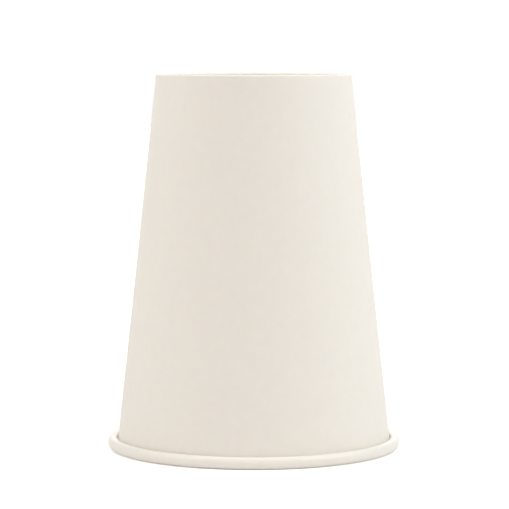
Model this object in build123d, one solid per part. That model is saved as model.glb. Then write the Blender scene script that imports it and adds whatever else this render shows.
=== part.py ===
"""Tapered paper cup, stood mouth down on its rolled rim, in millimetres.

The lowest circle of the rim lies on z = 0, the cup's axis is +Z, and the foot is on top.
The cup is two pieces of paperboard. The sidewall is one fan-shaped blank, wrapped into a
cone with a glued lap at the back, its wide edge rolled outwards into the rim and its narrow
edge hemmed inwards at the foot. The base disc is a round blank with its edge turned into a
skirt, which is glued between the wall and the hem.
"""
from build123d import *
from math import atan2, cos, degrees, radians, sin, sqrt, tan
import os

# Overall size
rim_diameter = 90.0
foot_diameter = 59.7
cup_height = 114.9

# Thickness of the two boards
wall_board = 0.35
disc_board = 0.30

# Rolled rim: a spiral of board, stretched upwards, with a gap between one turn and the next.
# The corners of the blank are clipped, so the roll turns less far where it is lapped
roll_width = 3.3
roll_stretch = 1.18
roll_gap = 0.08
roll_turn = 420.0
lap_turn = 330.0

# Foot: the hem folds over the skirt of the disc, and the disc lies inside the foot
hem_depth = 6.5
fold_bend = 0.3
hem_to_disc = 1.5
disc_bend = 0.6
skirt_end_gap = 0.2
glue_gap = 0.02

# Side seam: widths along the mouth, and the compass bearing of the lap's middle
lap_width = 8.0
climb_width = 2.0
lap_bearing = 90.0

# Angle of each short chord that draws the spiral
CHORD = 30

rim_radius = rim_diameter / 2
foot_radius = foot_diameter / 2
roll_middle = roll_stretch * roll_width / 2
pocket = disc_board + 2 * glue_gap
lap_angle = degrees(lap_width / rim_radius)
climb_angle = degrees(climb_width / rim_radius)
lean = atan2(rim_radius - roll_width + wall_board - foot_radius, cup_height - roll_middle)


def wall_point(inset, height):
    """A point at a height, on the line that lies inside the wall's outer face by an inset."""
    return foot_radius + (cup_height - height) * tan(lean) - inset / cos(lean), height


def roll_point(turn, depth, layers):
    """A point on the rim's spiral, after a turn in degrees from where it leaves the wall.

    The depth is measured into the board from its drinking side, which is outside on the
    roll. Each whole turn brings the spiral in by its layers of board and the gap.
    """
    pitch = layers * wall_board + roll_gap
    radius = roll_width / 2 + pitch * (1 / 4 - turn / 360)
    centre = rim_radius - roll_width / 2 + pitch / 4
    angle = radians(turn)
    return (
        centre - (radius - depth) * cos(angle),
        roll_middle - (radius * roll_stretch - depth) * sin(angle),
    )


def rim_points(depth, layers, last_turn):
    """The wall's lower end and the spiral as far as its last turn, at a depth in the board."""
    turns = range(CHORD, round(last_turn) + 1, CHORD)
    return [wall_point(wall_board - depth, roll_middle)] + [roll_point(t, depth, layers) for t in turns]


def drinking_face(depth, rim):
    """The board's drinking side: the hem's side towards the skirt, the pocket and the wall."""
    pocket_top = cup_height - wall_board
    hem = wall_board + pocket + depth
    return [
        wall_point(hem, cup_height - hem_depth),
        wall_point(hem, pocket_top),
        wall_point(wall_board - depth, pocket_top),
        *rim,
    ]


def outer_face(depth, rim):
    """The board's outer side: the hem's free side, the fold with its two bends and the wall."""
    hem = wall_board + pocket + depth
    wall = wall_board - depth
    return [
        wall_point(hem, cup_height - hem_depth),
        wall_point(hem, cup_height - fold_bend),
        wall_point(hem - fold_bend, cup_height),
        wall_point(wall + fold_bend, cup_height),
        wall_point(wall, cup_height - fold_bend),
        *rim,
    ]


def upright(points):
    """A flat face from an outline of radii and heights, standing in the XZ plane."""
    return Plane.XZ * make_face(Polyline(*points, close=True))


def board_section(below, layers, last_turn):
    """The sidewall's section: its layers of board, without those that it only lies on."""
    near = below * wall_board
    far = layers * wall_board
    inner = drinking_face(near, rim_points(near, layers, last_turn))
    outer = outer_face(far, rim_points(far, layers, last_turn))
    return upright(inner + outer[::-1])


def sidewall():
    """The wrapped blank: the glued lap, once round from it, and the climb back over its edge."""
    lap = revolve(board_section(0, 2, lap_turn), Axis.Z, lap_angle)
    way_round = 360 - lap_angle - climb_angle
    once_round = Rot(0, 0, lap_angle) * revolve(board_section(0, 1, roll_turn), Axis.Z, way_round)
    climb_start = Rot(0, 0, -climb_angle) * board_section(0, 1, lap_turn)
    climb_end = board_section(1, 2, lap_turn)
    climb = loft([climb_start, climb_end], ruled=True)
    return Rot(0, 0, lap_bearing - lap_angle / 2) * (once_round + climb + lap)


def disc_face(inset, height, bend):
    """One side of the base: its centre, the slanted bend and the skirt's end."""
    edge = wall_point(inset, height)[0]
    skirt_end = cup_height - wall_board - skirt_end_gap
    return [(0, height), (edge - bend, height), wall_point(inset, height + bend), wall_point(inset, skirt_end)]


def base_disc():
    """The round base: flat, with its edge turned up into a skirt that fills the hem's pocket."""
    upper = cup_height - hem_depth - hem_to_disc
    outer_inset = wall_board + glue_gap
    under = disc_face(outer_inset, upper - disc_board, disc_bend + disc_board * (2 - sqrt(2)))
    over = disc_face(outer_inset + disc_board, upper, disc_bend)
    return revolve(upright(under + over[::-1]), Axis.Z)


os.makedirs("parts", exist_ok=True)
export_step(sidewall(), "parts/sidewall.step")
export_step(base_disc(), "parts/base_disc.step")
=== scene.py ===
"""Looks of the tapered paper cup that stands mouth down on its rolled rim.

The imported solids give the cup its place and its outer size. Here the sidewall and the base
disc are drawn again as smooth board with the finishes of cup board, and stood in a pale
studio. Lengths are in metres, and turns, bearings and angles are in degrees, unless a
comment says otherwise.
"""

import logging
from dataclasses import dataclass, field
from enum import Enum
from math import atan2, cos, pi, radians, sin, tan
from typing import Callable, ClassVar

import bpy
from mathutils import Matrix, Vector

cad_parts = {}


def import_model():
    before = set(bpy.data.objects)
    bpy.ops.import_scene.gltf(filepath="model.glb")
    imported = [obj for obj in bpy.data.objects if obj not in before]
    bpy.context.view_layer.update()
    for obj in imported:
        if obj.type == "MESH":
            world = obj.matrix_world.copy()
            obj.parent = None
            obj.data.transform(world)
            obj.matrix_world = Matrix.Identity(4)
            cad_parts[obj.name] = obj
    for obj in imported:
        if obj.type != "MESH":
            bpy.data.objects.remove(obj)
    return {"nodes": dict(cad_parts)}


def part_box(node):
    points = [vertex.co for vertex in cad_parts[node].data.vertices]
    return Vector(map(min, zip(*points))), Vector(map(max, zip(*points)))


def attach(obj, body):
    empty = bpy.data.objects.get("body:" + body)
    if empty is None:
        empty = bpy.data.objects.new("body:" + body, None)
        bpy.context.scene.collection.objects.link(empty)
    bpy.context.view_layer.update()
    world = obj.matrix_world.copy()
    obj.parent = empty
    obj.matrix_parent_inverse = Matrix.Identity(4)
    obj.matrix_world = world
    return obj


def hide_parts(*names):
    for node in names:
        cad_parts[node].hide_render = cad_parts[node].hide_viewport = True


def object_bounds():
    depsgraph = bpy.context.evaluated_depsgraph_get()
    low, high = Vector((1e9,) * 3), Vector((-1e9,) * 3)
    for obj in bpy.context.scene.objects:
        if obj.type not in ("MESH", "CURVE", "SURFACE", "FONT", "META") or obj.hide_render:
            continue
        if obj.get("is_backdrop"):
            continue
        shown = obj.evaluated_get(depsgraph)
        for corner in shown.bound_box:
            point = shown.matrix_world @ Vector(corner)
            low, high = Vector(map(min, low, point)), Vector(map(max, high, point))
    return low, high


MM = 0.001
WHITE = (1.0, 1.0, 1.0, 1.0)
Point = tuple[float, float]
Span = tuple[float, float]
Colour = tuple[float, float, float, float]
Socket = bpy.types.NodeSocket
Outputs = bpy.types.NodeOutputs
log = logging.getLogger("paper_cup")


class Side(Enum):
    """The two sides of a board, by the number that marks their rows in a section."""

    OUTER = 0.0
    DRINKING = 1.0


class Layer(Enum):
    """The states of the wrapped board round the cup: (boards in the stack, boards below it)."""

    ONCE = (1, 0)
    UNDER = (2, 0)
    OVER = (2, 1)

    @property
    def boards(self) -> int:
        """How many boards lie on each other here."""
        return self.value[0]

    @property
    def below(self) -> int:
        """How many boards this one lies on."""
        return self.value[1]

    @property
    def label(self) -> str:
        """The name under which a section's points carry this state."""
        return self.name.lower()


Face = Callable[[Layer], list[Point]]


class Mixed(Enum):
    """What a Mix node mixes: (its data type, the numbers of its two inputs and of its output)."""

    VECTOR = ("VECTOR", 4, 5, 1)
    COLOUR = ("RGBA", 6, 7, 2)


class Tree:
    """A node tree that is being drawn, with short calls that add and join its nodes."""

    def __init__(self, tree: bpy.types.NodeTree) -> None:
        """Takes over a node tree and empties it.

        Args:
            tree: The geometry or shader tree to draw.
        """
        self.tree = tree
        tree.nodes.clear()

    def add(self, kind: str, sockets: dict | None = None, **settings: object) -> bpy.types.Node:
        """Adds a node.

        Args:
            kind: The node's type name.
            sockets: What each input gets, by its name or number: a value or another node's output.
            **settings: The node's own properties.

        Returns:
            The new node.
        """
        node = self.tree.nodes.new(kind)
        for name, value in settings.items():
            setattr(node, name, value)
        for key, value in (sockets or {}).items():
            self.feed(node.inputs[key], value)
        return node

    def feed(self, socket: Socket, value: object) -> None:
        """Gives an input its value.

        Args:
            socket: The input.
            value: A plain value, or an output that is joined to it.
        """
        if isinstance(value, Socket):
            self.tree.links.new(value, socket)
        else:
            socket.default_value = value

    def math(self, operation: str, *values: object) -> Socket:
        """Adds a Math node.

        Args:
            operation: The name of the sum, such as MULTIPLY.
            *values: Its numbers or outputs, in order.

        Returns:
            The result's output.
        """
        return self.add("ShaderNodeMath", dict(enumerate(values)), operation=operation).outputs[0]

    def mix(self, kind: Mixed, share: object, first: object, second: object) -> Socket:
        """Mixes two vectors or two colours.

        Args:
            kind: Which of them they are.
            share: How much of the second there is.
            first: The one at share 0.
            second: The one at share 1.

        Returns:
            The mixture's output.
        """
        data_type, near, far, output = kind.value
        node = self.add("ShaderNodeMix", {0: share, near: first, far: second}, data_type=data_type)
        return node.outputs[output]

    def ramp(
        self, value: object, start: object, end: object, low: object = 0.0, high: object = 1.0
    ) -> Socket:
        """Eases from one level to another while a value goes from start to end.

        Args:
            value: The value that moves.
            start: Where the ramp starts.
            end: Where it ends.
            low: The level at the start.
            high: The level at the end.

        Returns:
            The level's output.
        """
        sockets = {"Value": value, "From Min": start, "From Max": end, "To Min": low, "To Max": high}
        return self.add("ShaderNodeMapRange", sockets, interpolation_type="SMOOTHSTEP").outputs[0]


@dataclass(frozen=True)
class BoardFinish:
    """One face of cup board: its tone, the clouds and fibres in it, its roughness and its glow.

    A span holds the two levels of a noise between which something comes in.
    """

    name: str
    tone: Colour
    cloud_tone: Colour
    roughness: Span
    fibre_size: float
    fibre_relief: float
    cloud_size: float
    cloud_relief: float
    fibre_detail: float = 3.0
    cloud_detail: float = 4.0
    detail_share: float = 0.55
    cloud_span: Span = (0.35, 0.68)
    fleck_span: Span = (0.55, 0.8)
    fleck_share: float = 0.35
    rough_span: Span = (0.3, 0.7)
    glow: float = 0.6
    glow_reach: tuple[float, float, float] = (1.0, 0.9, 0.75)
    glow_depth: float = 1.0 * MM

    def make(self) -> bpy.types.Material:
        """Makes the finish as a material of nodes.

        Returns:
            The material.
        """
        material = bpy.data.materials.new(self.name)
        material.use_nodes = True
        tree = Tree(material.node_tree)
        place = tree.add("ShaderNodeTexCoord").outputs["Object"]
        clouds = self.noise(tree, place, self.cloud_size, self.cloud_detail)
        fibres = self.noise(tree, place, self.fibre_size, self.fibre_detail)
        tone = tree.mix(Mixed.COLOUR, tree.ramp(clouds, *self.cloud_span), self.tone, self.cloud_tone)
        fleck = tree.ramp(fibres, *self.fleck_span, 0.0, self.fleck_share)
        tone = tree.mix(Mixed.COLOUR, fleck, tone, self.cloud_tone)
        waves = {"Strength": 1.0, "Distance": self.cloud_relief, "Height": clouds}
        wavy = tree.add("ShaderNodeBump", waves).outputs[0]
        relief = {"Strength": 1.0, "Distance": self.fibre_relief, "Height": fibres, "Normal": wavy}
        surface = {
            "Base Color": tone,
            "Roughness": tree.ramp(fibres, *self.rough_span, *self.roughness),
            "Normal": tree.add("ShaderNodeBump", relief).outputs[0],
            "Subsurface Weight": self.glow,
            "Subsurface Radius": self.glow_reach,
            "Subsurface Scale": self.glow_depth,
        }
        board = tree.add("ShaderNodeBsdfPrincipled", surface)
        tree.add("ShaderNodeOutputMaterial", {"Surface": board.outputs[0]})
        return material

    def noise(self, tree: Tree, place: Socket, size: float, detail: float) -> Socket:
        """Adds an even noise.

        Args:
            tree: The tree it goes into.
            place: The coordinates it reads.
            size: The size of its blotches.
            detail: How many finer layers it has.

        Returns:
            The noise's output.
        """
        sockets = {"Vector": place, "Scale": 1 / size, "Detail": detail, "Roughness": self.detail_share}
        return tree.add("ShaderNodeTexNoise", sockets).outputs[0]


@dataclass(frozen=True)
class CupFinishes:
    """The three faces that cup board shows."""

    outer: BoardFinish = BoardFinish(
        name="board_outer_face",
        tone=(0.87, 0.84, 0.79, 1.0),
        cloud_tone=(0.86, 0.828, 0.774, 1.0),
        roughness=(0.62, 0.78),
        fibre_size=0.25 * MM,
        fibre_relief=0.007 * MM,
        cloud_size=2.4 * MM,
        cloud_relief=0.004 * MM,
    )
    drinking: BoardFinish = BoardFinish(
        name="board_lined_face",
        tone=(0.87, 0.84, 0.79, 1.0),
        cloud_tone=(0.86, 0.828, 0.774, 1.0),
        roughness=(0.36, 0.46),
        fibre_size=0.45 * MM,
        fibre_relief=0.004 * MM,
        cloud_size=2.4 * MM,
        cloud_relief=0.004 * MM,
    )
    cut: BoardFinish = BoardFinish(
        name="board_cut_edge",
        tone=(0.80, 0.76, 0.70, 1.0),
        cloud_tone=(0.70, 0.65, 0.58, 1.0),
        roughness=(0.82, 0.95),
        fibre_size=0.12 * MM,
        fibre_relief=0.03 * MM,
        cloud_size=1.1 * MM,
        cloud_relief=0.03 * MM,
    )


@dataclass
class Section:
    """A board's section: rows of points, each in the states it takes round the cup."""

    states: dict[Layer, list[Point]] = field(default_factory=lambda: {layer: [] for layer in Layer})
    sides: list[Side] = field(default_factory=list)
    reliefs: list[Point] = field(default_factory=list)

    def extend(self, face: Face, side: Side, reliefs: list[Point] | None = None) -> None:
        """Adds the rows of one face.

        Args:
            face: Gives the face's rows in a state.
            side: Which side of the board it is.
            reliefs: Which way pressed marks move each row, if they do.
        """
        for layer, rows in self.states.items():
            rows.extend(face(layer))
        count = len(face(Layer.ONCE))
        self.sides.extend([side] * count)
        self.reliefs.extend(reliefs or [(0.0, 0.0)] * count)

    def as_mesh(self, name: str, closed: bool) -> bpy.types.Mesh:
        """Draws the section as a line of edges whose points carry their states.

        Args:
            name: The mesh's name.
            closed: Whether the last row joins the first.

        Returns:
            The mesh.
        """
        once = self.states[Layer.ONCE]
        count = len(once)
        edges = [(i, i + 1) for i in range(count - 1)]
        if closed:
            edges.append((count - 1, 0))
        mesh = bpy.data.meshes.new(name)
        mesh.from_pydata([(r, 0.0, z) for r, z in once], edges, [])
        vectors = {layer.label: rows for layer, rows in self.states.items()}
        vectors["relief"] = self.reliefs
        for label, rows in vectors.items():
            values = mesh.attributes.new(label, "FLOAT_VECTOR", "POINT")
            values.data.foreach_set("vector", [n for r, z in rows for n in (r, 0.0, z)])
        sides = mesh.attributes.new("side", "FLOAT", "POINT")
        sides.data.foreach_set("value", [side.value for side in self.sides])
        return mesh


@dataclass
class BoardSweep:
    """The rule that takes a board's section round the cup's axis, as a tree of geometry nodes.

    The tree's own inputs for turns and bearings are in radians.
    """

    name: str = "board_round_the_axis"
    smooth_angle: float = 38.0
    weld: float = 0.0005 * MM
    mark_sharpness: float = 2.0
    uneven_scale: float = 9.0
    uneven_detail: float = 2.0
    tree: bpy.types.NodeTree | None = None

    SIZES: ClassVar[dict[str, str]] = {
        "Whole Turn": "NodeSocketFloat",
        "Start Bearing": "NodeSocketFloat",
        "Lap": "NodeSocketFloat",
        "Climb": "NodeSocketFloat",
        "Ease": "NodeSocketFloat",
        "Steps": "NodeSocketInt",
        "Marks": "NodeSocketInt",
        "Mark Depth": "NodeSocketFloat",
        "Unevenness": "NodeSocketFloat",
        "Seed": "NodeSocketInt",
        "Ends Meet": "NodeSocketBool",
        "Outer Finish": "NodeSocketMaterial",
        "Drinking Finish": "NodeSocketMaterial",
        "Cut Finish": "NodeSocketMaterial",
    }

    # Each finish in turn covers the facets whose mean side mark is above its level
    FINISH_LEVELS: ClassVar[dict[str, float]] = {
        "Outer Finish": -1.0,
        "Cut Finish": 0.25,
        "Drinking Finish": 0.75,
    }

    def build(self) -> None:
        """Draws the tree once, for both boards."""
        self.tree = bpy.data.node_groups.new(self.name, "GeometryNodeTree")
        self.tree.interface.new_socket("Section", in_out="INPUT", socket_type="NodeSocketGeometry")
        for label, kind in self.SIZES.items():
            self.tree.interface.new_socket(label, in_out="INPUT", socket_type=kind)
        self.tree.interface.new_socket("Board", in_out="OUTPUT", socket_type="NodeSocketGeometry")
        tree = Tree(self.tree)
        given = tree.add("NodeGroupInput").outputs
        swept = self.sweep(tree, given)
        turn = tree.math("MULTIPLY", self.named(tree, "sweep", "FLOAT"), given["Whole Turn"])
        row = self.row(tree, given, turn)
        bearing = tree.math("ADD", turn, given["Start Bearing"])
        moved = {"Geometry": swept, "Position": self.place(tree, row, bearing)}
        placed = tree.add("GeometryNodeSetPosition", moved)
        tree.add("NodeGroupOutput", {0: self.finish(tree, given, placed.outputs[0])})

    @staticmethod
    def named(tree: Tree, label: str, kind: str) -> Socket:
        """Reads a value that the section's points or the path carry.

        Args:
            tree: The tree.
            label: The value's name.
            kind: FLOAT or FLOAT_VECTOR.

        Returns:
            The value's output.
        """
        read = tree.add("GeometryNodeInputNamedAttribute", {"Name": label}, data_type=kind)
        return read.outputs["Attribute"]

    @staticmethod
    def sweep(tree: Tree, given: Outputs) -> Socket:
        """Sweeps the section along a straight path whose points carry their share of the way.

        Args:
            tree: The tree.
            given: The tree's inputs.

        Returns:
            The swept mesh's output.
        """
        profile = tree.add("GeometryNodeMeshToCurve", {"Mesh": given["Section"]})
        line = tree.add("GeometryNodeCurvePrimitiveLine", {"End": (0.0, 0.0, 1.0)})
        count = tree.math("ADD", given["Steps"], 1)
        path = tree.add("GeometryNodeResampleCurve", {"Curve": line.outputs[0], "Count": count})
        share = tree.add("GeometryNodeSplineParameter").outputs["Factor"]
        carried = {"Geometry": path.outputs[0], "Name": "sweep", "Value": share}
        path = tree.add("GeometryNodeStoreNamedAttribute", carried, data_type="FLOAT", domain="POINT")
        open_ends = tree.add("FunctionNodeBooleanMath", {0: given["Ends Meet"]}, operation="NOT")
        curves = {
            "Curve": path.outputs[0],
            "Profile Curve": profile.outputs[0],
            "Fill Caps": open_ends.outputs[0],
        }
        return tree.add("GeometryNodeCurveToMesh", curves).outputs[0]

    def row(self, tree: Tree, given: Outputs, turn: Socket) -> Socket:
        """Works out the radius and height of each point of the section at its turn.

        Args:
            tree: The tree.
            given: The tree's inputs.
            turn: How far round from the board's first edge each point is.

        Returns:
            The output of (radius, 0, height).
        """
        once, under, over = (self.named(tree, layer.label, "FLOAT_VECTOR") for layer in Layer)
        lap_end = tree.math("ADD", given["Lap"], given["Ease"])
        below = tree.ramp(turn, given["Lap"], lap_end, 1.0, 0.0)
        climb_start = tree.math("SUBTRACT", 2 * pi, given["Climb"])
        above = tree.ramp(turn, climb_start, 2 * pi)
        start = tree.mix(Mixed.VECTOR, below, once, under)
        row = tree.mix(Mixed.VECTOR, above, start, over)
        relief = {0: self.named(tree, "relief", "FLOAT_VECTOR"), "Scale": self.press(tree, given, turn)}
        moved = tree.add("ShaderNodeVectorMath", relief, operation="SCALE").outputs[0]
        return tree.add("ShaderNodeVectorMath", {0: row, 1: moved}, operation="ADD").outputs[0]

    def press(self, tree: Tree, given: Outputs, turn: Socket) -> Socket:
        """Works out how far the pressed marks move the board at each turn.

        Args:
            tree: The tree.
            given: The tree's inputs.
            turn: How far round from the board's first edge each point is.

        Returns:
            The distance's output.
        """
        wave = tree.math("COSINE", tree.math("MULTIPLY", turn, given["Marks"]))
        groove = tree.math("POWER", tree.math("MULTIPLY_ADD", wave, 0.5, 0.5), self.mark_sharpness)
        around = {"X": tree.math("COSINE", turn), "Y": tree.math("SINE", turn), "Z": given["Seed"]}
        where = tree.add("ShaderNodeCombineXYZ", around).outputs[0]
        chance = {"Vector": where, "Scale": self.uneven_scale, "Detail": self.uneven_detail}
        noise = tree.add("ShaderNodeTexNoise", chance).outputs[0]
        uneven = tree.math("MULTIPLY", tree.math("MULTIPLY_ADD", noise, 2.0, -1.0), given["Unevenness"])
        depth = tree.math("MULTIPLY", given["Mark Depth"], tree.math("ADD", uneven, 1.0))
        return tree.math("MULTIPLY", groove, depth)

    @staticmethod
    def place(tree: Tree, row: Socket, bearing: Socket) -> Socket:
        """Turns a radius and height into a place at a bearing.

        Args:
            tree: The tree.
            row: The output of (radius, 0, height).
            bearing: The compass bearing.

        Returns:
            The place's output.
        """
        parts = tree.add("ShaderNodeSeparateXYZ", {0: row}).outputs
        x = tree.math("MULTIPLY", parts[0], tree.math("COSINE", bearing))
        y = tree.math("MULTIPLY", parts[0], tree.math("SINE", bearing))
        return tree.add("ShaderNodeCombineXYZ", {0: x, 1: y, 2: parts[2]}).outputs[0]

    def finish(self, tree: Tree, given: Outputs, board: Socket) -> Socket:
        """Welds ends that meet, turns the faces outward, keeps true edges sharp and lays on the finishes.

        Args:
            tree: The tree.
            given: The tree's inputs.
            board: The board's mesh.

        Returns:
            The finished board's output.
        """
        joined = {"Geometry": board, "Selection": given["Ends Meet"], "Distance": self.weld}
        board = tree.add("GeometryNodeMergeByDistance", joined).outputs[0]
        board = tree.add("GeometryNodeFlipFaces", {"Mesh": board}).outputs[0]
        angle = tree.add("GeometryNodeInputMeshEdgeAngle").outputs["Unsigned Angle"]
        sharp = tree.math("GREATER_THAN", angle, radians(self.smooth_angle))
        edges = {"Geometry": board, "Selection": sharp, "Shade Smooth": False}
        board = tree.add("GeometryNodeSetShadeSmooth", edges, domain="EDGE").outputs[0]
        board = tree.add("GeometryNodeRealizeInstances", {0: board}).outputs[0]
        side = self.named(tree, "side", "FLOAT")
        for label, level in self.FINISH_LEVELS.items():
            chosen = tree.math("GREATER_THAN", side, level)
            laid = {"Geometry": board, "Selection": chosen, "Material": given[label]}
            board = tree.add("GeometryNodeSetMaterial", laid).outputs[0]
        return board

    def bake(self, name: str, section: bpy.types.Mesh, sizes: dict[str, object]) -> bpy.types.Object:
        """Runs the tree on a section and keeps the result as a plain mesh.

        Args:
            name: The new piece's name.
            section: The section's mesh.
            sizes: The tree's inputs by name.

        Returns:
            The piece.
        """
        holder = bpy.data.objects.new(f"{name}_section", section)
        bpy.context.scene.collection.objects.link(holder)
        modifier = holder.modifiers.new("sweep", "NODES")
        modifier.node_group = self.tree
        for socket in self.tree.interface.items_tree:
            if socket.name in sizes:
                modifier[socket.identifier] = sizes[socket.name]
        graph = bpy.context.evaluated_depsgraph_get()
        mesh = bpy.data.meshes.new_from_object(holder.evaluated_get(graph), depsgraph=graph)
        bpy.data.objects.remove(holder)
        for label in [layer.label for layer in Layer] + ["relief", "side", "sweep"]:
            mesh.attributes.remove(mesh.attributes[label])
        mesh.name = name
        piece = bpy.data.objects.new(name, mesh)
        bpy.context.scene.collection.objects.link(piece)
        return piece


def arc(corner: Point, before: Point, after: Point, radius: float, steps: int) -> list[Point]:
    """Rounds a corner of a section.

    Args:
        corner: The sharp corner.
        before: A point on the line that comes to it.
        after: A point on the line that leaves it.
        radius: How far from the corner the bend starts and ends.
        steps: How many chords it has.

    Returns:
        The bend's points.
    """
    tip = Vector(corner)
    start = (Vector(before) - tip).normalized() * radius
    end = (Vector(after) - tip).normalized() * radius
    angles = [pi / 2 * i / steps for i in range(steps + 1)]
    return [tuple(tip + start * (1 - sin(a)) + end * (1 - cos(a))) for a in angles]


def report(piece: bpy.types.Object) -> None:
    """Logs a piece's name, facets and size.

    Args:
        piece: The finished piece.
    """
    piece.data.calc_loop_triangles()
    size = ", ".join(f"{length / MM:.2f}" for length in piece.dimensions)
    log.info("%s: %d triangles, %s mm", piece.name, len(piece.data.loop_triangles), size)


@dataclass
class Sidewall:
    """The wrapped blank: the wall with its lap, the rolled rim and the hem at the foot."""

    rim_radius: float
    height: float

    # Wall, with the places of its rows in millimetres below the foot
    foot_radius: float = 29.85 * MM
    board: float = 0.35 * MM
    wall_rows: tuple[float, ...] = (1.0, 2.0, 4.0, 8.0, 20.0, 40.0, 60.0, 80.0, 96.0, 106.0, 109.0)
    lap_width: float = 8.0 * MM
    climb_width: float = 2.0 * MM
    lap_bearing: float = 90.0
    steps: int = 494

    # Join of the wall to the roll, from a height above the roll's middle to one of its turns
    join_height: float = 2.4 * MM
    join_turn: int = 24
    join_steps: int = 8

    # Rolled rim, whose board is squarer where it is pressed to the wall
    roll_width: float = 3.3 * MM
    roll_stretch: float = 1.18
    roll_gap: float = 0.08 * MM
    roll_turn: float = 420.0
    lap_turn: float = 330.0
    pressed_from: int = 270
    pressed_to: int = 360
    squareness: float = 4.0
    drinking_chord: int = 6
    outer_chord: int = 12
    tail_steps: int = 16

    # Hem, with its rows as (millimetres above its cut edge, share of the knurl's depth)
    hem_depth: float = 6.5 * MM
    hem_rows: tuple[Point, ...] = (
        (0.0, 0.0), (0.25, 0.0), (0.9, 0.0),
        (1.3, 1.0), (2.4, 1.0), (3.8, 1.0), (4.9, 1.0),
        (5.3, 0.0), (5.8, 0.0),
    )
    pocket: float = 0.34 * MM
    fold_bend: float = 0.42 * MM
    fold_steps: int = 6
    fold_row: float = 0.5 * MM
    corner_row: float = 0.3 * MM
    knurl_marks: int = 120
    knurl_depth: float = 0.09 * MM
    knurl_unevenness: float = 0.25
    knurl_seed: int = 7

    @property
    def roll_middle(self) -> float:
        """Height of the middle of the rolled rim."""
        return self.roll_stretch * self.roll_width / 2

    @property
    def lean(self) -> float:
        """Angle between the wall and the cup's axis, in radians."""
        wall_foot = self.rim_radius - self.roll_width + self.board
        return atan2(wall_foot - self.foot_radius, self.height - self.roll_middle)

    def wall_point(self, inset: float, height: float) -> Point:
        """A point at a height, inside the wall's outer face by an inset."""
        outer = self.foot_radius + (self.height - height) * tan(self.lean)
        return outer - inset / cos(self.lean), height

    def roll_point(self, turn: float, depth: float, boards: int) -> Point:
        """Finds a point on the rim's spiral.

        Args:
            turn: How far round the roll it is, from where it leaves the wall.
            depth: How deep in the board it is, from the drinking side.
            boards: How many boards are rolled together there.

        Returns:
            Its radius and height.
        """
        pitch = boards * self.board + self.roll_gap
        radius = (self.roll_width / 2 + pitch * (1 / 4 - turn / 360)) * self.fullness(turn)
        centre = self.rim_radius - self.roll_width / 2 + pitch / 4
        across = centre - (radius - depth) * cos(radians(turn))
        up = self.roll_middle - (radius * self.roll_stretch - depth) * sin(radians(turn))
        return min(across, self.rim_radius), max(up, 0.0)

    def fullness(self, turn: float) -> float:
        """How much fuller than an oval the roll is at a turn.

        Args:
            turn: How far round the roll it is.

        Returns:
            The radius as a share of the oval's, which is over 1 only where the roll is pressed.
        """
        if not self.pressed_from < turn < self.pressed_to:
            return 1.0
        sides = abs(cos(radians(turn))), abs(sin(radians(turn)))
        return sum(side**self.squareness for side in sides) ** (-1 / self.squareness)

    def depth(self, layer: Layer, side: Side) -> float:
        """How deep a side of the board lies in a state, from the drinking side of the stack."""
        return (layer.below + (side is Side.OUTER)) * self.board

    def fold_height(self, layer: Layer, side: Side) -> float:
        """Height of a side of the board in the fold, where lapped boards are pressed to one's height."""
        share = (layer.below + (side is Side.OUTER)) / layer.boards
        return self.height - self.board * (1 - share)

    def join(self, layer: Layer, depth: float) -> list[Point]:
        """Draws the smooth bend from the wall to the roll.

        Args:
            layer: The board's state.
            depth: How deep the side lies.

        Returns:
            The bend's rows, without the one that is the roll's first.
        """
        start = Vector(self.wall_point(self.board - depth, self.roll_middle + self.join_height))
        end = Vector(self.roll_point(self.join_turn, depth, layer.boards))
        beyond = Vector(self.roll_point(self.join_turn + 1, depth, layer.boards))
        slope = (end - beyond).normalized()
        down = Vector((tan(self.lean), -1.0))
        gap = end - start
        reach = (gap.x * slope.y - gap.y * slope.x) / (down.x * slope.y - down.y * slope.x)
        middle = start + down * reach
        shares = [i / self.join_steps for i in range(self.join_steps)]
        return [tuple(start * (1 - s) ** 2 + middle * 2 * s * (1 - s) + end * s**2) for s in shares]

    def rim_rows(self, layer: Layer, side: Side) -> list[Point]:
        """Draws the wall below the fold, its smooth join to the roll, and the roll.

        Args:
            layer: The board's state.
            side: The board's side.

        Returns:
            The rows, from the wall's top to the roll's cut edge.
        """
        depth = self.depth(layer, side)
        wall = [self.wall_point(self.board - depth, self.height - d * MM) for d in self.wall_rows]
        chord = self.drinking_chord if side is Side.DRINKING else self.outer_chord
        turns = list(range(self.join_turn, self.pressed_from, chord))
        last = self.roll_turn if layer is Layer.ONCE else self.lap_turn
        rest = last - self.pressed_from
        turns += [self.pressed_from + rest * i / self.tail_steps for i in range(self.tail_steps + 1)]
        return wall + self.join(layer, depth) + [self.roll_point(t, depth, layer.boards) for t in turns]

    def drinking_face(self, layer: Layer) -> list[Point]:
        """Draws the side that faces the disc's skirt and the drink.

        Args:
            layer: The board's state.

        Returns:
            The rows, from the hem's cut edge to the roll's.
        """
        depth = self.depth(layer, Side.DRINKING)
        hem = self.board + self.pocket + depth
        wall = self.board - depth
        low = self.height - self.hem_depth
        top = self.fold_height(layer, Side.DRINKING)
        rows = [self.wall_point(hem, h) for h in (low, low + self.corner_row, top - self.corner_row, top)]
        rows += [self.wall_point(wall, h) for h in (top, top - self.corner_row)]
        return rows + self.rim_rows(layer, Side.DRINKING)

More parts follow.
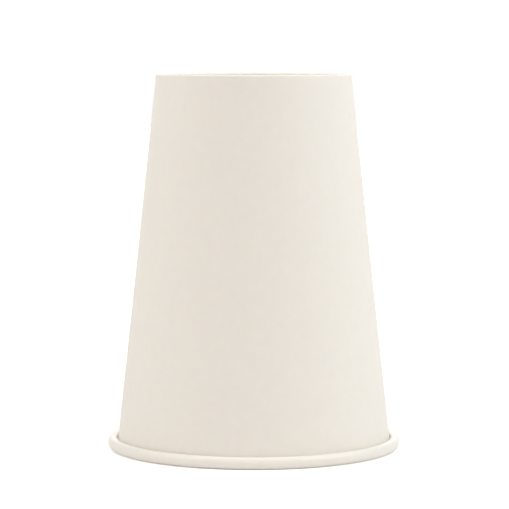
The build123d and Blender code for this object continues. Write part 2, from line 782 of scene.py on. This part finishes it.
    def outer_face(self, layer: Layer) -> list[Point]:
        """Draws the hem's free side, the fold and the outside of the wall and the roll.

        Args:
            layer: The board's state.

        Returns:
            The rows, from the hem's cut edge to the roll's.
        """
        depth = self.depth(layer, Side.OUTER)
        hem = self.board + self.pocket + depth
        wall = self.board - depth
        low = self.height - self.hem_depth
        top = self.fold_height(layer, Side.OUTER)
        rows = [self.wall_point(hem, low + d * MM) for d, _ in self.hem_rows]
        inner = self.wall_point(hem, top)
        outer = self.wall_point(wall, top)
        rows += arc(inner, self.wall_point(hem, top - MM), outer, self.fold_bend, self.fold_steps)
        rows += arc(outer, inner, self.wall_point(wall, top - MM), self.fold_bend, self.fold_steps)
        rows.append(self.wall_point(wall, top - self.fold_row))
        return rows + self.rim_rows(layer, Side.OUTER)

    def knurl(self) -> list[Point]:
        """Which way the knurl presses each row of the outer face: into the hem's free side."""
        plain = len(self.outer_face(Layer.ONCE)) - len(self.hem_rows)
        return [(share, 0.0) for _, share in self.hem_rows] + [(0.0, 0.0)] * plain

    def build(self, sweep: BoardSweep, finishes: dict[str, bpy.types.Material]) -> bpy.types.Object:
        """Draws the section and takes it round the cup, over its own first edge.

        Args:
            sweep: The rule that takes it round.
            finishes: The tree's finish inputs by name.

        Returns:
            The piece.
        """
        section = Section()
        section.extend(self.drinking_face, Side.DRINKING)
        section.extend(lambda layer: self.outer_face(layer)[::-1], Side.OUTER, self.knurl()[::-1])
        lap = self.lap_width / self.rim_radius
        sizes = {
            "Whole Turn": 2 * pi + lap,
            "Start Bearing": radians(self.lap_bearing) - lap / 2,
            "Lap": lap,
            "Climb": self.climb_width / self.rim_radius,
            "Ease": self.climb_width / self.rim_radius,
            "Steps": self.steps,
            "Marks": self.knurl_marks,
            "Mark Depth": self.knurl_depth,
            "Unevenness": self.knurl_unevenness,
            "Seed": self.knurl_seed,
            "Ends Meet": False,
        }
        return sweep.bake("sidewall_board", section.as_mesh("sidewall_section", True), sizes | finishes)


@dataclass
class BaseDisc:
    """The round base: flat, with its edge turned up into a skirt that fills the hem's pocket."""

    wall: Sidewall
    board: float = 0.30 * MM
    glue: float = 0.02 * MM
    hem_to_disc: float = 1.5 * MM
    bend: float = 0.6 * MM
    bend_steps: int = 8
    skirt_gap: float = 0.2 * MM
    steps: int = 480

    # Rows of the flat, as shares of its radius and in millimetres from the bend
    flat_shares: tuple[float, ...] = (0.0, 0.2, 0.45, 0.7, 0.86)
    flat_rows: tuple[float, ...] = (1.6, 0.8, 0.3)

    # Rows of the skirt, above the bend and above the flat's upper side
    skirt_low_row: float = 0.3 * MM
    skirt_high_row: float = 3.0 * MM

    # Pleats, with the share of their depth that each row has from the flat's middle to the skirt's end
    pleats: int = 96
    pleat_depth: float = 0.035 * MM
    pleat_shares: tuple[float, ...] = (0.0,) * 6 + (0.25, 0.7, 1.0, 1.0, 0.9, 0.7, 0.4, 0.2) + (0.0,) * 6
    pleat_unevenness: float = 0.9
    pleat_seed: int = 23

    # The disc has no lap and looks the same in every state, so its climb only has to be above nought
    no_climb: float = 0.01

    def face(self, side: Side) -> list[Point]:
        """Draws one side of the disc, from its middle to the skirt's end.

        Args:
            side: The side; the drinking side faces down, into the cup.

        Returns:
            The rows.
        """
        top = self.wall.height - self.wall.hem_depth - self.hem_to_disc
        drinking = side is Side.DRINKING
        height = top - self.board if drinking else top
        inset = self.wall.board + self.glue + (0.0 if drinking else self.board)
        radius = self.bend + (self.board if drinking else 0.0)
        corner = self.wall.wall_point(inset, height)
        flat = [(corner[0] * share, height) for share in self.flat_shares]
        flat += [(corner[0] - radius - d * MM, height) for d in self.flat_rows]
        bend = arc(corner, (0.0, height), self.wall.wall_point(inset, height + MM), radius, self.bend_steps)
        end = self.wall.height - self.wall.board - self.skirt_gap
        heights = (height + radius + self.skirt_low_row, top + self.skirt_high_row, end)
        return flat + bend + [self.wall.wall_point(inset, h) for h in heights]

    def gathers(self) -> list[Point]:
        """Which way the pleats press each row of one face: up, at the flat's edge and in the bend."""
        return [(0.0, share) for share in self.pleat_shares]

    def build(self, sweep: BoardSweep, finishes: dict[str, bpy.types.Material]) -> bpy.types.Object:
        """Draws the section and turns it once round the axis.

        Args:
            sweep: The rule that takes it round.
            finishes: The tree's finish inputs by name.

        Returns:
            The piece.
        """
        section = Section()
        section.extend(lambda layer: self.face(Side.DRINKING), Side.DRINKING, self.gathers())
        section.extend(lambda layer: self.face(Side.OUTER)[::-1], Side.OUTER, self.gathers()[::-1])
        sizes = {
            "Whole Turn": 2 * pi,
            "Start Bearing": 0.0,
            "Lap": 0.0,
            "Climb": self.no_climb,
            "Ease": self.no_climb,
            "Steps": self.steps,
            "Marks": self.pleats,
            "Mark Depth": self.pleat_depth,
            "Unevenness": self.pleat_unevenness,
            "Seed": self.pleat_seed,
            "Ends Meet": True,
        }
        return sweep.bake("base_disc_board", section.as_mesh("base_disc_section", False), sizes | finishes)


@dataclass(frozen=True)
class SoftBox:
    """One soft studio lamp."""

    name: str
    place: tuple[float, float, float]
    size: tuple[float, float]
    power: float
    tint: tuple[float, float, float]

    def light(self, target: Vector) -> None:
        """Hangs the lamp and aims it.

        Args:
            target: What it points at.
        """
        lamp = bpy.data.lights.new(self.name, "AREA")
        lamp.shape = "RECTANGLE"
        lamp.size, lamp.size_y = self.size
        lamp.energy = self.power
        lamp.color = self.tint
        held = bpy.data.objects.new(self.name, lamp)
        held.location = self.place
        held.rotation_euler = (target - Vector(self.place)).to_track_quat("-Z", "Y").to_euler()
        bpy.context.scene.collection.objects.link(held)


@dataclass
class Studio:
    """The pale floor, the white surroundings, the lamps and the camera."""

    floor_rings: tuple[float, ...] = (0.25, 0.6, 1.2, 3.0)
    floor_sectors: int = 64
    floor_tone: Colour = (0.88, 0.88, 0.87, 1.0)
    floor_lift: float = 0.30
    floor_lift_span: Span = (0.1, 0.5)
    sky_tone: Colour = (1.0, 0.958, 0.893, 1.0)
    sky_strength: float = 0.4975
    lamps: tuple[SoftBox, ...] = (
        SoftBox("lamp_right", (0.85, -0.2, 0.8), (0.6, 0.8), 5.04, (0.994, 1.0, 0.968)),
        SoftBox("lamp_left", (-0.85, -0.2, 0.8), (0.6, 0.8), 3.6, (1.0, 0.93, 0.85)),
        SoftBox("lamp_top", (0.0, -0.1, 1.1), (0.8, 0.8), 2.89, (0.964, 0.991, 1.0)),
        SoftBox("lamp_front", (0.0, -1.1, 0.3), (0.6, 0.6), 1.38, (1.0, 0.752, 0.64)),
        SoftBox("lamp_back", (0.0, 1.0, 0.5), (0.9, 0.6), 2.21, (1.0, 0.956, 0.907)),
    )
    camera_place: tuple[float, float, float] = (0.0, -0.7665, 0.1240)
    camera_pitch: float = 4.81
    camera_near: float = 0.05
    sensor_millimetres: float = 36.0
    focal_pixels: float = 2500.0
    image_width: int = 509
    image_shift: float = 0.0014

    @staticmethod
    def background_share(tree: Tree) -> Socket:
        """Picks out the rays that show the background by itself, in a reflection or through glass.

        Args:
            tree: The tree it goes into.

        Returns:
            The output that is 1 on those rays and 0 on the others.
        """
        path = tree.add("ShaderNodeLightPath").outputs
        seen = tree.math("MAXIMUM", path["Is Camera Ray"], path["Is Glossy Ray"])
        return tree.math("MAXIMUM", seen, path["Is Transmission Ray"])

    def floor_mesh(self) -> bpy.types.Mesh:
        """Draws the floor as a round sheet of rings.

        Returns:
            The mesh.
        """
        count = self.floor_sectors
        turns = [2 * pi * i / count for i in range(count)]
        corners = [(0.0, 0.0, 0.0)]
        corners += [(radius * cos(t), radius * sin(t), 0.0) for radius in self.floor_rings for t in turns]
        pairs = [(i, (i + 1) % count) for i in range(count)]
        faces = [(0, 1 + i, 1 + j) for i, j in pairs]
        for ring in range(1, len(self.floor_rings)):
            far = 1 + ring * count
            near = far - count
            faces += [(near + i, far + i, far + j, near + j) for i, j in pairs]
        mesh = bpy.data.meshes.new("studio_floor")
        mesh.from_pydata(corners, [], faces)
        return mesh

    def floor_finish(self) -> bpy.types.Material:
        """Makes a white that stays white to the eye and keeps the cup's shadow.

        Returns:
            The material.
        """
        material = bpy.data.materials.new("studio_floor_white")
        material.use_nodes = True
        tree = Tree(material.node_tree)
        place = tree.add("ShaderNodeTexCoord").outputs["Object"]
        distance = tree.add("ShaderNodeVectorMath", {0: place}, operation="LENGTH").outputs["Value"]
        level = tree.ramp(distance, *self.floor_lift_span, self.floor_lift, 1.0)
        lift = tree.math("MULTIPLY", self.background_share(tree), level)
        matt = tree.add("ShaderNodeBsdfDiffuse", {"Color": self.floor_tone})
        glow = tree.add("ShaderNodeEmission", {"Color": WHITE, "Strength": lift})
        both = tree.add("ShaderNodeAddShader", {0: matt.outputs[0], 1: glow.outputs[0]})
        tree.add("ShaderNodeOutputMaterial", {"Surface": both.outputs[0]})
        return material

    def lay_floor(self) -> None:
        """Lays the floor."""
        mesh = self.floor_mesh()
        mesh.materials.append(self.floor_finish())
        floor = bpy.data.objects.new("studio_floor", mesh)
        bpy.context.scene.collection.objects.link(floor)
        floor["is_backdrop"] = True

    def surround(self) -> None:
        """Puts plain white all round, with its own tone and strength as a light."""
        world = bpy.data.worlds.new("studio_white")
        world.use_nodes = True
        tree = Tree(world.node_tree)
        seen = tree.add("ShaderNodeBackground", {"Color": WHITE, "Strength": 1.0})
        shining = tree.add("ShaderNodeBackground", {"Color": self.sky_tone, "Strength": self.sky_strength})
        share = self.background_share(tree)
        mixed = tree.add("ShaderNodeMixShader", {0: share, 1: shining.outputs[0], 2: seen.outputs[0]})
        tree.add("ShaderNodeOutputWorld", {"Surface": mixed.outputs[0]})
        bpy.context.scene.world = world

    def set_camera(self) -> None:
        """Stands the camera where the photograph was taken from."""
        lens = bpy.data.cameras.new("photo_camera")
        lens.sensor_width = self.sensor_millimetres
        lens.lens = self.focal_pixels / self.image_width * lens.sensor_width
        lens.shift_x = self.image_shift
        lens.clip_start = self.camera_near
        camera = bpy.data.objects.new("photo_camera", lens)
        camera.location = self.camera_place
        camera.rotation_euler = (radians(90 - self.camera_pitch), 0.0, 0.0)
        bpy.context.scene.collection.objects.link(camera)
        bpy.context.scene.camera = camera

    def build(self, middle: Vector) -> None:
        """Sets up the whole studio.

        Args:
            middle: The middle of the cup, at which the lamps point.
        """
        self.lay_floor()
        self.surround()
        for lamp in self.lamps:
            lamp.light(middle)
        self.set_camera()
        bpy.context.scene.view_settings.view_transform = "Standard"
        log.info("studio: %d lamps, floor %.1f m across", len(self.lamps), 2 * self.floor_rings[-1])


@dataclass
class PaperCup:
    """The whole cup: the two boards, their finishes, and the solids they stand for."""

    finishes: CupFinishes = field(default_factory=CupFinishes)

    def build(self) -> None:
        """Builds both boards and hands them to the frame."""
        low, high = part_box("sidewall")
        wall = Sidewall(rim_radius=(high.x - low.x) / 2, height=high.z)
        sweep = BoardSweep()
        sweep.build()
        dress = {
            "Outer Finish": self.finishes.outer.make(),
            "Drinking Finish": self.finishes.drinking.make(),
            "Cut Finish": self.finishes.cut.make(),
        }
        self.hand_over(wall.build(sweep, dress), "sidewall", "wall_board")
        self.hand_over(BaseDisc(wall).build(sweep, dress), "base_disc", "base_board")

    @staticmethod
    def hand_over(piece: bpy.types.Object, node: str, slot: str) -> None:
        """Lets a piece ride on the cup in a solid's place.

        Args:
            piece: The finished piece.
            node: The solid it stands for.
            slot: A name for the piece's material slot; not used.
        """
        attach(piece, "root")
        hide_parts(node)
        report(piece)


def main() -> None:
    """Builds the cup and its studio, in order."""
    logging.basicConfig(level=logging.INFO, format="%(name)s %(levelname)s %(message)s")
    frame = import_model()
    solid_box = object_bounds()
    log.info("solids in the frame: %s", ", ".join(sorted(frame["nodes"])))
    PaperCup().build()
    Studio().build((solid_box[0] + solid_box[1]) / 2)


if __name__ == "__main__":
    main()
